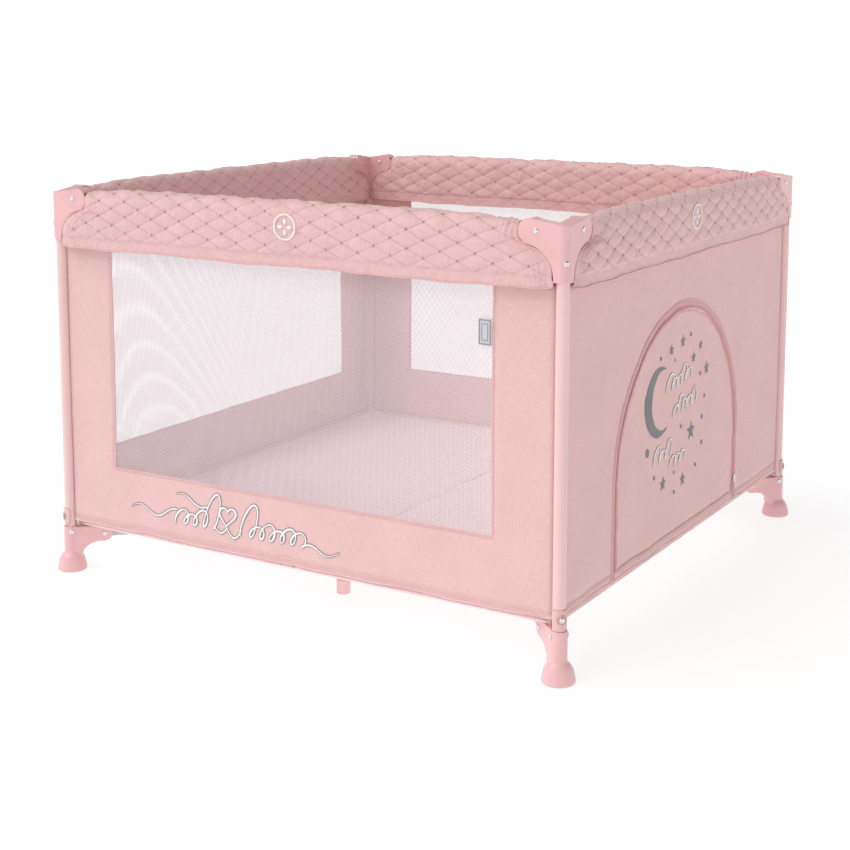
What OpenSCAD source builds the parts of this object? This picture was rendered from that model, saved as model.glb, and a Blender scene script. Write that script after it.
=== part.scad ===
// Folding square playpen: four posts, hinged top rails, a scissor floor frame and fabric walls.
// Origin: centre of the footprint on the floor, +X to the right, +Y to the back, +Z up.

/* [Overall] */
// Distance between neighbouring post axes
span = 1060; // [900:10:1300]
// Height of the top rail axis above the floor
rail_z = 731; // [600:1:800]
// Height of the floor frame axis above the floor
floor_z = 70; // [60:1:90]

/* [Tubes] */
// Outside diameter of the corner posts
post_d = 22; // [18:1:30]
// Outside diameter of the top rails
rail_d = 20; // [16:1:24]
// Outside diameter of the floor tubes
tube_d = 19; // [16:1:24]
// Wall thickness of every tube
tube_wall = 1.2; // [1:0.1:2]

/* [Hinges] */
// Post axis to the hinge of a top rail
rail_pivot = 42; // [36:1:60]
// Half the distance between the two hinges of a rail latch
latch_pivot = 35; // [30:1:50]
// Post axis to the hinge of a floor tube, along the diagonal
foot_pivot = 63; // [55:1:80]
// Hub centre to the hinge of a support leg
leg_pivot = 50; // [45:1:60]
// Radius of every hinge rivet
pin_r = 2.5; // [2:0.1:4]
// Radial clearance of a moving part on its rivet
pin_gap = 0.05; // [0.02:0.01:0.1]
// Thickness of a plastic cheek beside a tube
cheek = 3.6; // [3:0.1:5]
// Side clearance between a tube and its cheeks
side_gap = 0.2; // [0.1:0.05:0.5]

/* [Corners] */
// Height of the underside of a top corner bracket
bracket_low = 651; // [600:1:700]
// Radius of the sleeve of a top corner bracket
bracket_r = 14; // [13:0.5:18]
// Radius of the round lobe of a corner bracket
lobe_r = 20.5; // [18:0.5:26]
// Post axis to the centre of the lobe
lobe_at = 54; // [48:1:70]
// Height of a plastic foot
foot_h = 87; // [70:1:110]
// Radius of the flared base of a foot
foot_r = 28.3; // [24:0.1:36]

/* [Middle legs] */
// Hub centre to the upright of a support leg
leg_reach = 366; // [300:1:420]
// Radius of the end cap under a support leg
leg_cap_r = 13; // [12:0.5:18]

/* [Fabric] */
// Thickness of a fabric wall with its binding
wall_t = 4; // [2:0.5:6]
// Thickness of the net
net_t = 1.6; // [1:0.1:3]
// Height of the lower edge of the walls
wall_low = 92; // [80:1:110]
// Height of the upper edge of the walls, inside the padded covers
wall_high = 646; // [600:1:700]
// Half the width of the net window
window_half = 408; // [300:1:450]
// Height of the lower edge of the net window
window_low = 220; // [180:5:300]
// Overall width of the padded rail cover
cover_w = 40; // [32:1:60]
// Thickness of the padding of the rail cover
cover_t = 5; // [3:0.5:8]
// Height of the lower edge of the rail cover
cover_low = 640; // [600:1:680]
// Height of the top of the rail cover
cover_high = 756; // [745:1:780]
// Height of the underside of the floor pad
pad_low = 89.5; // [88:0.5:100]
// Thickness of the floor pad
pad_t = 10; // [5:1:30]

/* [Door] */
// Position of the middle of the arch along the right side
door_y = -35; // [-100:5:100]
// Radius of the arch along the zipper
door_r = 283; // [200:1:300]
// Height where the round part of the arch begins
door_spring = 254; // [200:1:350]
// Height of the fold line under the door
door_low = 125; // [110:1:150]
// Gap between the door panel and the wall
door_gap = 1.5; // [1:0.1:3]

/* [Hidden] */
$fn = 48;
half = span / 2;
// Hub centre to the hinge of a floor tube: it makes the floor frame fold level with the rails
hub_pivot = sqrt(2) * (rail_pivot + latch_pivot) - foot_pivot;
rail_len = half - rail_pivot - latch_pivot;
tube_len = half * sqrt(2) - foot_pivot - hub_pivot;
rail_cheek = rail_d / 2 + side_gap;
tube_cheek = tube_d / 2 + side_gap + 0.3;
rail_top = rail_z + rail_d / 2;
latch_half = 48;
latch_core = 24;
latch_low = rail_z - 15;
latch_high = rail_z + 16;
// The eye of a tube is this much smaller than the tube in radius
eye_step = 0.4;
rivet_head_r = 4.75;
rivet_head_h = 1.8;
clip_z = 108;
bracket_rivet_z = 682;
foot_rivet_z = 78;
foot_sleeve_r = bracket_r + 0.4;
button_travel = 5;
mitre_gap = 0.3;
// The fold of the door panel is a cord sewn in a hem just outside the wall
fold_cord_r = 2.2;
fold_cord_out = 5.5;
slot_w = 20.6;
slot_t = 8.6;
SIDES = ["front", "right", "rear", "left"];
CORNERS = ["fl", "fr", "rl", "rr"];
PLASTIC = "#ecb6b8";
STEEL_PINK = "#f0c3be";
FABRIC = "#ecbebe";
METAL = "#c9c9cd";

// Places its children at a corner; in the local frame the playpen lies towards +X and +Y
module at_corner(name) {
    sx = name[1] == "l" ? -1 : 1;
    sy = name[0] == "f" ? -1 : 1;
    translate([sx * half, sy * half, 0])
        mirror([sx > 0 ? 1 : 0, 0, 0])
            mirror([0, sy > 0 ? 1 : 0, 0])
                children();
}

// Places its children at a side drawn along X at Y = -half, with the outside towards -Y
module at_side(name) {
    turn = search([name], SIDES)[0] * 90;
    rotate([0, 0, turn]) children();
}

// Cylinder along Y, centred on Y = 0
module y_rod(r, length) {
    rotate([90, 0, 0]) cylinder(r = r, h = length, center = true);
}

// Cylinder along X from x0 to x1
module x_rod(r, x0, x1) {
    translate([x0, 0, 0]) rotate([0, 90, 0]) cylinder(r = r, h = x1 - x0);
}

// Rivet along Y: a shank across both cheeks and a low head on each side
module rivet(half_w) {
    y_rod(pin_r, 2 * half_w);
    for (s = [-1, 1])
        translate([0, s * (half_w + rivet_head_h / 2), 0])
            y_rod(rivet_head_r, rivet_head_h);
}

// Tube along X from x = 0 to x = length with a solid hinge eye at each end
module hinged_tube(d, length) {
    difference() {
        union() {
            x_rod(d / 2, 0, length);
            for (x = [0, length]) translate([x, 0, 0]) y_rod(d / 2 - eye_step, d - 0.4);
        }
        x_rod(d / 2 - tube_wall, 16, length - 16);
        for (x = [0, length]) translate([x, 0, 0]) y_rod(pin_r + pin_gap, d + 2);
    }
}

// Steel corner post
module post(name) {
    color(STEEL_PINK) at_corner(name)
        difference() {
            translate([0, 0, 5]) cylinder(d = post_d, h = rail_z + 6 - 5);
            translate([0, 0, 4]) cylinder(d = post_d - 2 * tube_wall, h = rail_z + 8);
            rotate([0, 0, 45]) {
                translate([0, 0, foot_rivet_z]) y_rod(pin_r + 0.01, 40);
                translate([0, 0, bracket_rivet_z]) x_rod(pin_r + 0.01, -30, 0);
                translate([0, 0, clip_z]) x_rod(pin_r + 0.01, -30, 0);
            }
        }
}

// Side outline of one wing of a corner bracket: X is the distance from the post, Y is the height
module wing_outline() {
    sweep_r = 54.5;
    sweep_at = [66, rail_z - 76];
    lobe_z = rail_z - 1;
    difference() {
        polygon([
            [0, bracket_low], [sweep_at[0], bracket_low], [sweep_at[0], lobe_z + 10],
            [lobe_at + 4, lobe_z + lobe_r - 0.5], [0, rail_z + 11]
        ]);
        translate(sweep_at) circle(r = sweep_r, $fn = 96);
    }
    translate([lobe_at, lobe_z]) circle(r = lobe_r);
}

// One wing along X: a solid block at the sleeve, two cheeks and a roof over the rail
module bracket_wing() {
    block = 28;
    roof = rail_top + 0.8;
    outer = rail_cheek + cheek;
    for (y = [-outer, rail_cheek])
        translate([0, y + cheek, 0]) rotate([90, 0, 0])
            linear_extrude(cheek) wing_outline();
    translate([0, outer, 0]) rotate([90, 0, 0]) linear_extrude(2 * outer)
        intersection() {
            wing_outline();
            union() {
                translate([0, bracket_low]) square([block, 200]);
                translate([0, roof]) square([100, 30]);
            }
        }
}

// Plastic corner bracket: sleeve over the post and two wings that hold the rails
module bracket(name) {
    color(PLASTIC) at_corner(name)
        difference() {
            union() {
                translate([0, 0, bracket_low]) cylinder(r = bracket_r, h = rail_z + 11 - bracket_low);
                bracket_wing();
                mirror([1, -1, 0]) bracket_wing();
            }
            translate([0, 0, bracket_low - 1]) cylinder(d = post_d + 0.1, h = rail_z + 7 - bracket_low);
            translate([rail_pivot, 0, rail_z]) y_rod(pin_r + 0.01, 60);
            mirror([1, -1, 0]) translate([rail_pivot, 0, rail_z]) y_rod(pin_r + 0.01, 60);
            rotate([0, 0, 45]) translate([0, 0, bracket_rivet_z]) x_rod(pin_r + 0.01, -30, 0);
        }
}

// Side outline of the gusset of a foot: X is the distance from the post along the diagonal
module gusset_outline() {
    tip_r = 16;
    sweep_r = 40;
    difference() {
        union() {
            translate([4, 36]) square([foot_pivot - 4, foot_h - 36.5]);
            translate([foot_pivot, foot_h - tip_r]) circle(r = tip_r);
        }
        translate([foot_pivot - 9, floor_z - tip_r - sweep_r + 1]) circle(r = sweep_r, $fn = 96);
    }
    translate([4, 29]) square([foot_sleeve_r + 3, foot_h - 29.5]);
}

// Profile of the foot turned about the post: flared base and straight sleeve
module foot_profile() {
    polygon([
        [0, 0], [foot_r - 1.5, 0], [foot_r, 1.5], [foot_r, 5], [foot_r - 1.5, 14],
        [foot_r - 4, 23], [foot_r - 8, 30], [foot_sleeve_r + 0.6, 35.5], [foot_sleeve_r, 39],
        [foot_sleeve_r, foot_h + 0.6], [0, foot_h + 0.6]
    ]);
}

// Plastic foot: flared base, sleeve around the post, and two cheeks for the floor tube
module foot(name) {
    outer = tube_cheek + cheek;
    color(PLASTIC) at_corner(name)
        difference() {
            union() {
                rotate_extrude() foot_profile();
                rotate([0, 0, 45]) translate([0, outer, 0]) rotate([90, 0, 0])
                    linear_extrude(2 * outer) gusset_outline();
            }
            translate([0, 0, 4.9]) cylinder(d = post_d + 0.1, h = foot_h);
            rotate([0, 0, 45]) {
                translate([foot_pivot - 18, -tube_cheek, 20]) cube([50, 2 * tube_cheek, 100]);
                translate([foot_pivot, 0, floor_z]) y_rod(pin_r + 0.01, 60);
                translate([0, 0, foot_rivet_z]) y_rod(pin_r + 0.01, 60);
            }
        }
}

// Rivets of one corner: two rail hinges, bracket, foot, floor hinge and fabric clip
module rivets(name) {
    color(METAL) at_corner(name) {
        translate([rail_pivot, 0, rail_z]) rivet(rail_cheek + cheek);
        mirror([1, -1, 0]) translate([rail_pivot, 0, rail_z]) rivet(rail_cheek + cheek);
        rotate([0, 0, 45]) {
            translate([foot_pivot, 0, floor_z]) rivet(tube_cheek + cheek);
            translate([0, 0, foot_rivet_z]) rivet(foot_sleeve_r);
            translate([0, 0, bracket_rivet_z]) outward_rivet(bracket_r);
            translate([0, 0, clip_z]) outward_rivet(post_d / 2 + 1.2);
        }
    }
}

// Blind rivet in the outward side of a post, head at the given distance from the axis
module outward_rivet(seat) {
    x_rod(pin_r, -seat, -post_d / 2 + tube_wall);
    x_rod(rivet_head_r, -seat - rivet_head_h, -seat);
}

// Diagonal floor tube from a foot to the hub
module floor_tube(name) {
    color(METAL) at_corner(name)
        rotate([0, 0, 45]) translate([foot_pivot, 0, floor_z])
            hinged_tube(tube_d, tube_len);
}

// One quarter of the floor pad, cut round the post
module floor_pad(name) {
    edge = wall_t / 2 + 2;
    color("#e3b0b0") at_corner(name)
        translate([0, 0, pad_low])
            linear_extrude(pad_t) difference() {
                translate([edge, edge]) square(half - edge - 0.5);
                circle(r = bracket_r + 1.5);
            }
}

// Half of a top rail; half a lies at the -X end of the side as drawn, half b at the +X end
module rail(side, end) {
    color(METAL) at_side(side) mirror([end == "b" ? 1 : 0, 0, 0])
        translate([-half + rail_pivot, -half, rail_z]) hinged_tube(rail_d, rail_len);
}

// Cross-section of the padded cover: an upside-down U
module cover_section() {
    difference() {
        union() {
            translate([-cover_w / 2, cover_low]) square([cover_w, cover_high - 14 - cover_low]);
            translate([0, cover_high - 14]) scale([cover_w / 28, 1]) circle(r = 14);
        }
        translate([-cover_w / 2 + cover_t, cover_low - 1])
            square([cover_w - 2 * cover_t, latch_high + 0.8 - cover_low + 1]);
    }
}

// Half of the padded cover of a side, cut back to the edge of the corner bracket
module cover(side, end) {
    start = bracket_r + 2;
    length = half - start - 0.4;
    color(FABRIC) at_side(side) mirror([end == "b" ? 1 : 0, 0, 0])
        translate([-half, -half, 0]) difference() {
            translate([start, 0, 0]) rotate([90, 0, 90]) linear_extrude(length) cover_section();
            translate([0, cover_w, 0]) rotate([90, 0, 0]) linear_extrude(2 * cover_w) {
                offset(1.5) wing_outline();
                translate([0, rail_z - 20]) square([lobe_at, 60]);
            }
            translate([0, 0, cover_low - 1]) linear_extrude(cover_high) corner_mitre();
        }
}

// Plan of what is cut from a cover so that two covers meet in a mitre inside the corner
module corner_mitre() {
    polygon([[0, -mitre_gap], [cover_w, cover_w - mitre_gap], [0, cover_w]]);
}

// Latch housing in the middle of a side; both rails hinge in it and it is open above their eyes
module latch(side) {
    outer = rail_cheek + cheek;
    color(PLASTIC) at_side(side) translate([0, -half, 0])
        difference() {
            union() {
                translate([-latch_core, -outer, latch_low])
                    cube([2 * latch_core, 2 * outer, latch_high - latch_low]);
                for (y = [-outer, rail_cheek])
                    translate([0, y + cheek, 0]) rotate([90, 0, 0]) linear_extrude(cheek)
                        latch_cheek();
                translate([-latch_half + 6, -outer, latch_low])
                    cube([2 * latch_half - 12, 2 * outer, cheek]);
            }
            for (x = [-latch_pivot, latch_pivot])
                translate([x, 0, rail_z]) y_rod(pin_r + pin_gap, 60);
            translate([-slot_w / 2, -slot_t / 2, latch_low - 1])
                cube([slot_w, slot_t, 20]);
            for (s = [-1, 1]) translate([s * (latch_pivot), 0, rail_z])
                y_rod(rail_d / 2 + 0.4, 2 * rail_cheek);
        }
}

// Side outline of a latch cheek
module latch_cheek() {
    round_r = (latch_high - latch_low) / 2;
    hull()
        for (s = [-1, 1])
            translate([s * (latch_half - round_r), latch_low + round_r]) circle(r = round_r);
}

// Release button under a latch, with the two rail rivets' springs hidden above its stem
module button(side) {
    pad_top = latch_low - button_travel - 0.6;
    color("#d9a3a5") at_side(side) translate([0, -half, 0]) {
        translate([-16, -8, pad_top - 8]) cube([32, 16, 8]);
        translate([-10, -4, pad_top - 0.5]) cube([20, 8, 14]);
    }
}

// Plain outline of a wall: X along the side, Y the height
module wall_outline() {
    edge = half - bracket_r - 2;
    translate([-edge, wall_low]) square([2 * edge, wall_high - wall_low]);
}

// Outline of the door opening; grow moves its edge outwards
module door_outline(grow) {
    r = door_r + grow;
    translate([0, door_spring]) circle(r = r, $fn = 128);
    translate([-r, door_low - grow]) square([2 * r, door_spring - door_low + grow]);
}

// Stands an outline up on a side as a sheet of the given thickness
module sheet_up(thickness) {
    translate([0, -half + thickness / 2, 0]) rotate([90, 0, 0]) linear_extrude(thickness)
        children();
}

// Wall with a net window: bound fabric all round and thin net in the window
module net_wall(side) {
    color(FABRIC) at_side(side) {
        sheet_up(wall_t) difference() {
            wall_outline();
            translate([-window_half, window_low])
                square([2 * window_half, wall_high - window_low - 12]);
        }
        sheet_up(net_t)
            translate([-window_half - 1, window_low - 1])
                square([2 * window_half + 2, wall_high - window_low - 10]);
    }
}

// Wall with the arched door opening
module door_wall() {
    color(FABRIC) at_side("right") sheet_up(wall_t) difference() {
        wall_outline();
        translate([door_y, 0]) intersection() {
            door_outline(0);
            translate([-half, door_low]) square([span, span]);
        }
    }
}

// Door panel that fills the arch, with the corded hem that it folds down on
module door_flap() {
    hem_z = door_low + door_gap;
    hem_half = door_r - 10;
    color("#e2b2b2") at_side("right") {
        sheet_up(wall_t) translate([door_y, 0])
            intersection() {
                door_outline(-door_gap);
                translate([-half, hem_z]) square([span, span]);
            }
        translate([door_y, -half - fold_cord_out, door_low]) x_rod(fold_cord_r, -hem_half, hem_half);
        translate([door_y - hem_half, -half - fold_cord_out, hem_z])
            cube([2 * hem_half, fold_cord_out, fold_cord_r - door_gap]);
    }
}

// Slider of the zipper with its hanging pull tab, on the wall beside the door
module zip_slider() {
    slider_z = 150;
    face = wall_t / 2 + 0.4;
    color(METAL) at_side("right") translate([door_y + door_r + 1, -half - face, slider_z]) {
        translate([0, -3.2, -7]) cube([8, 3.2, 14]);
        translate([2.5, -4.4, -26]) cube([3, 1.4, 24]);
    }
}

// Directions of the hub's arms: four floor tubes and two support legs
function arms() = concat([for (a = [45 : 90 : 315]) [a, hub_pivot]], [for (a = [90, 270]) [a, leg_pivot]]);

// Plan of the hub below its roof: a boss with a slotted block for every arm
module hub_plan() {
    difference() {
        union() {
            circle(r = 27);
            for (arm = arms()) rotate(arm[0])
                translate([0, -tube_cheek - cheek]) square([arm[1] + 9, 2 * (tube_cheek + cheek)]);
        }
        for (arm = arms()) rotate(arm[0])
            translate([arm[1] - tube_d / 2 - 0.8, -tube_cheek]) square([50, 2 * tube_cheek]);
    }
}

// Hub in the middle of the floor frame: a roof plate over six slotted blocks
module hub() {
    roof = floor_z + tube_d / 2 + 0.8;
    low = floor_z - 12;
    color(PLASTIC) difference() {
        union() {
            translate([0, 0, roof]) cylinder(r = 62, h = 3.6);
            translate([0, 0, low]) linear_extrude(roof - low + 1) hub_plan();
        }
        for (arm = arms()) rotate([0, 0, arm[0]])
            translate([arm[1], 0, floor_z]) y_rod(pin_r + 0.01, 2 * (tube_cheek + cheek) + 1);
    }
}

// Rivets of the hub, one for each arm
module hub_rivets() {
    color(METAL) for (arm = arms()) rotate([0, 0, arm[0]])
        translate([arm[1], 0, floor_z]) y_rod(pin_r, 2 * (tube_cheek + cheek));
}

// Folding middle leg: a tube from the hub and an upright with a round end cap
module support_leg(turn) {
    reach = leg_reach - leg_pivot;
    color(STEEL_PINK) rotate([0, 0, turn]) translate([leg_pivot, 0, floor_z]) difference() {
        union() {
            x_rod(tube_d / 2, 0, reach);
            y_rod(tube_d / 2 - eye_step, tube_d - 0.4);
            translate([reach, 0, 0]) sphere(d = post_d);
            translate([reach, 0, 12 - floor_z]) cylinder(d = post_d, h = floor_z - 12);
            translate([reach, 0, -floor_z]) cylinder(r = leg_cap_r, h = 26);
        }
        x_rod(tube_d / 2 - tube_wall, 16, reach - 14);
        y_rod(pin_r + pin_gap, tube_d + 2);
    }
}

post("fl");  // post_fl
post("fr");  // post_fr
post("rl");  // post_rl
post("rr");  // post_rr
bracket("fl");  // bracket_fl
bracket("fr");  // bracket_fr
bracket("rl");  // bracket_rl
bracket("rr");  // bracket_rr
foot("fl");  // foot_fl
foot("fr");  // foot_fr
foot("rl");  // foot_rl
foot("rr");  // foot_rr
rivets("fl");  // rivets_fl
rivets("fr");  // rivets_fr
rivets("rl");  // rivets_rl
rivets("rr");  // rivets_rr
floor_tube("fl");  // floor_tube_fl
floor_tube("fr");  // floor_tube_fr
floor_tube("rl");  // floor_tube_rl
floor_tube("rr");  // floor_tube_rr
floor_pad("fl");  // floor_pad_fl
floor_pad("fr");  // floor_pad_fr
floor_pad("rl");  // floor_pad_rl
floor_pad("rr");  // floor_pad_rr
rail("front", "a");  // rail_front_a
rail("right", "a");  // rail_right_a
rail("rear", "a");  // rail_rear_a
rail("left", "a");  // rail_left_a
rail("front", "b");  // rail_front_b
rail("right", "b");  // rail_right_b
rail("rear", "b");  // rail_rear_b
rail("left", "b");  // rail_left_b
cover("front", "a");  // cover_front_a
cover("right", "a");  // cover_right_a
cover("rear", "a");  // cover_rear_a
cover("left", "a");  // cover_left_a
cover("front", "b");  // cover_front_b
cover("right", "b");  // cover_right_b
cover("rear", "b");  // cover_rear_b
cover("left", "b");  // cover_left_b
latch("front");  // latch_front
latch("right");  // latch_right
latch("rear");  // latch_rear
latch("left");  // latch_left
button("front");  // button_front
button("right");  // button_right
button("rear");  // button_rear
button("left");  // button_left
net_wall("front");  // wall_front
door_wall();  // wall_right
net_wall("rear");  // wall_rear
net_wall("left");  // wall_left
door_flap();
zip_slider();
hub();
hub_rivets();
support_leg(270);  // support_leg_front
support_leg(90);  // support_leg_rear
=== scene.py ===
"""Looks of the folding playpen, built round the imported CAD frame. Metres, +Z up, origin on the floor."""

import math

import bmesh
import bpy
import numpy as np
from mathutils import Matrix, Vector, noise


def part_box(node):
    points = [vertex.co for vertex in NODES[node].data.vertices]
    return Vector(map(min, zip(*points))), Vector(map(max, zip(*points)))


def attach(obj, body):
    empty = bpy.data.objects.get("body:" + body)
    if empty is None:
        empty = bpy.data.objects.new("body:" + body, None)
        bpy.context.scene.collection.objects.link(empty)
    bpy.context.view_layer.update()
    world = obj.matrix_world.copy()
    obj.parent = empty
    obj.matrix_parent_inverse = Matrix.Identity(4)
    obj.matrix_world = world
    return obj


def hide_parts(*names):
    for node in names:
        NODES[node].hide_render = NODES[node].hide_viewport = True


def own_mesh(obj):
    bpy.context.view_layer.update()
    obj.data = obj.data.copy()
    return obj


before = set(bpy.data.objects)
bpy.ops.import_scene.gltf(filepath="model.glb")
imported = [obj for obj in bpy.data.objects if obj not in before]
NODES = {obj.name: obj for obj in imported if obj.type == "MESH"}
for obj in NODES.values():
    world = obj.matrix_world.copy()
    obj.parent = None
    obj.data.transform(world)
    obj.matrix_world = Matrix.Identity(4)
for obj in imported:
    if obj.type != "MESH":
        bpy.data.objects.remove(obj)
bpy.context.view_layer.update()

# ---- sizes, read from the frame
MM = 0.001
SIDES = ["front", "right", "rear", "left"]
CORNERS = ["fl", "fr", "rl", "rr"]
# The corner post that carries each wall: the one at the side's own -X end
WALL_CORNER = {"front": "fl", "right": "fr", "rear": "rr", "left": "rl"}


def middle(node):
    low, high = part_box(node)
    return (low + high) / 2


HALF = -middle("post_fl").x
POST_R = (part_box("post_fl")[1].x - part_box("post_fl")[0].x) / 2
RAIL_Z = middle("rail_front_a").z
COVER_LOW, COVER_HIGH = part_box("cover_front_a")[0].z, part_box("cover_front_a")[1].z
COVER_HALF_W = (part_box("cover_front_a")[1].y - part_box("cover_front_a")[0].y) / 2
WALL_LOW, WALL_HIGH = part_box("wall_front")[0].z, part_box("wall_front")[1].z
WALL_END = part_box("wall_front")[1].x
PAD_LOW, PAD_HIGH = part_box("floor_pad_fl")[0].z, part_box("floor_pad_fl")[1].z
FLOOR_Z = middle("floor_tube_fl").z
HEM_Z = WALL_LOW + 14 * MM
WINDOW_HALF = 408 * MM
WINDOW_LOW = 220 * MM
DOOR_Y = middle("door_flap").y
DOOR_R = (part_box("door_flap")[1].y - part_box("door_flap")[0].y) / 2
DOOR_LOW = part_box("door_flap")[0].z
DOOR_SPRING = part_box("door_flap")[1].z - DOOR_R
DOOR_GAP = 1.5 * MM
# Hinge rivets: distance from the post, and half the width of the cheeks they go through
RAIL_PIVOT, RAIL_CHEEK = 42 * MM, 13.8 * MM
FOOT_PIVOT, FOOT_CHEEK = 63 * MM, 13.6 * MM
CLIP_Z = 108 * MM
# One diamond of the quilting and the plain hem beside it; the cover's mesh and its middle gap
QUILT_W, QUILT_H, QUILT_HEM = 64 * MM, 30 * MM, 19 * MM
COVER_STEPS, COVER_GAP = 230, 0.05 * MM
# Wall cloth: thickness, mesh spacing, how far a tape stands off it, and a noise seed for each wall
CLOTH_T, CLOTH_STEP, STRIP_OFF = 1.6 * MM, 9 * MM, 0.8 * MM + 0.5 * MM
WALL_SEED = {"front": 10.0, "right": 31.0, "rear": 16.0, "left": 19.0}
# Width and height of one diamond of the net, and the width of its yarn
NET_W, NET_H, YARN_W = 4.9 * MM, 6.8 * MM, 0.95 * MM
# The cloth reaches the post; the badges sit a little beside the middle of each side
CLOTH_END = HALF - POST_R - 1.2 * MM
BADGE_S = {"front": 12 * MM, "right": -33 * MM, "rear": 12 * MM, "left": -33 * MM}
BADGE_Z = 709 * MM
# Studio: sky strength, key strength, width and direction, and the glow of the sweep and its rise
SKY, KEY, KEY_WIDTH, KEY_FROM = 0.26, 1.95, math.radians(54), Vector((-0.40, -0.42, 0.815))
SWEEP_GLOW, GLOW_RISE = 0.76, 0.2


# ---- placing
def side_turn(side):
    """Turns a side drawn along X at Y = -HALF, outside towards -Y, to its place."""
    return Matrix.Rotation(math.radians(90 * SIDES.index(side)), 4, "Z")


def corner_turn(corner):
    """Turns a corner drawn at the origin, with the playpen towards +X and +Y, to its place."""
    sx = -1 if corner[1] == "l" else 1
    sy = -1 if corner[0] == "f" else 1
    return Matrix.Translation((sx * HALF, sy * HALF, 0)) @ Matrix.Diagonal((-sx, -sy, 1, 1))


def moved(points, matrix):
    m = np.array(matrix)
    return np.asarray(points, float).reshape(-1, 3) @ m[:3, :3].T + m[:3, 3]


# ---- meshes
class Shape:
    """Points, faces, UVs in metres and a material number per face, gathered part by part."""

    def __init__(self):
        self.points, self.faces, self.uvs, self.numbers = [], [], [], []

    def add(self, points, faces, uvs=None, number=0):
        start = len(self.points)
        points = [tuple(p) for p in np.asarray(points, float).reshape(-1, 3)]
        self.points += points
        self.faces += [[start + i for i in f] for f in faces]
        if uvs is None:
            uvs = [(p[0] + p[1], p[2]) for p in points]
        self.uvs += [tuple(u) for u in uvs]
        self.numbers += [number] * len(faces)

    def grid(self, points, uvs, wrap=False, number=0, keep=None):
        """points is (n, m, 3); wrap closes the second direction; keep(i, j) says which faces stay."""
        n, m = points.shape[:2]
        faces = []
        for i in range(n - 1):
            for j in range(m if wrap else m - 1):
                if keep is None or keep(i, j):
                    k = (j + 1) % m
                    faces.append([i * m + j, (i + 1) * m + j, (i + 1) * m + k, i * m + k])
        self.add(points, faces, uvs.reshape(-1, 2), number)

    def cap(self, ring, uvs, number=0, flip=False):
        """A fan that closes a ring of points."""
        ring = np.asarray(ring, float)
        points = np.vstack([ring, ring.mean(0)])
        n = len(ring)
        faces = [[i, (i + 1) % n, n] if not flip else [(i + 1) % n, i, n] for i in range(n)]
        self.add(points, faces, np.vstack([uvs, np.mean(uvs, axis=0)]), number)

    def build(self, name, materials, matrix=None, smooth=True):
        points = self.points if matrix is None else moved(self.points, matrix)
        mesh = bpy.data.meshes.new(name)
        mesh.from_pydata([tuple(p) for p in points], [], self.faces)
        layer = mesh.uv_layers.new(name="UVMap")
        corner_points = np.zeros(len(mesh.loops), np.int32)
        mesh.loops.foreach_get("vertex_index", corner_points)
        layer.data.foreach_set("uv", np.array(self.uvs, np.float32)[corner_points].ravel())
        mesh.polygons.foreach_set("material_index", np.array(self.numbers, np.int32))
        mesh.polygons.foreach_set("use_smooth", np.full(len(mesh.polygons), smooth))
        for m in materials:
            mesh.materials.append(m)
        obj = bpy.data.objects.new(name, mesh)
        bpy.context.scene.collection.objects.link(obj)
        tidy_faces(mesh, matrix is not None and Matrix(matrix).determinant() < 0)
        return obj


def tidy_faces(mesh, mirrored):
    """Joins points at one place, turns mirrored faces the right way out and keeps corners crisp."""
    work = bmesh.new()
    work.from_mesh(mesh)
    bmesh.ops.remove_doubles(work, verts=work.verts, dist=0.01 * MM)
    if mirrored:
        bmesh.ops.reverse_faces(work, faces=work.faces)
    work.to_mesh(mesh)
    work.free()
    mesh.set_sharp_from_angle(angle=math.radians(50))


def baked(obj):
    """Applies a piece's modifiers."""
    graph = bpy.context.evaluated_depsgraph_get()
    done = bpy.data.meshes.new_from_object(obj.evaluated_get(graph))
    obj.modifiers.clear()
    obj.data = done


def thicken(obj, thickness):
    """Gives an open sheet its thickness and closes its edges."""
    modifier = obj.modifiers.new("thickness", "SOLIDIFY")
    modifier.thickness = thickness
    modifier.offset = 0
    baked(obj)


def tube(shape, line, radius, sides=8, number=0, closed=False):
    """Sweeps a round section along a line of points."""
    line = np.asarray(line, float)
    n = len(line)
    tangents = np.gradient(line, axis=0)
    if closed:
        tangents = (np.roll(line, -1, 0) - np.roll(line, 1, 0)) / 2
    tangents /= np.linalg.norm(tangents, axis=1)[:, None]
    up = np.array([0, 0, 1.0]) if abs(tangents[0][2]) < 0.9 else np.array([0, 1.0, 0])
    rings = []
    normal = np.cross(tangents[0], up)
    for k in range(n):
        normal = normal - tangents[k] * (normal @ tangents[k])
        normal /= np.linalg.norm(normal)
        other = np.cross(tangents[k], normal)
        angles = np.arange(sides) * 2 * math.pi / sides
        rings.append(line[k] + radius * (np.cos(angles)[:, None] * normal + np.sin(angles)[:, None] * other))
    if closed:
        rings.append(rings[0])
    rings = np.array(rings)
    along = np.arange(len(rings)) * np.linalg.norm(line[1] - line[0])
    around = np.arange(sides) * 2 * math.pi * radius / sides
    uvs = np.stack(np.meshgrid(along, around, indexing="ij"), axis=-1)
    shape.grid(rings, uvs, wrap=True, number=number)
    if not closed:
        shape.cap(rings[0], uvs[0], number, flip=True)
        shape.cap(rings[-1], uvs[-1], number)


def lathe(shape, profile, matrix, sides=24, number=0):
    """Turns a profile of (radius, height) about the local Z axis and places it."""
    angles = np.arange(sides) * 2 * math.pi / sides
    rings = np.array([[(r * math.cos(a), r * math.sin(a), h) for a in angles] for r, h in profile])
    shaped = moved(rings, matrix).reshape(rings.shape)
    uvs = np.stack([rings[..., 0], rings[..., 1]], axis=-1)
    shape.grid(shaped, uvs, wrap=True, number=number)


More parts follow.
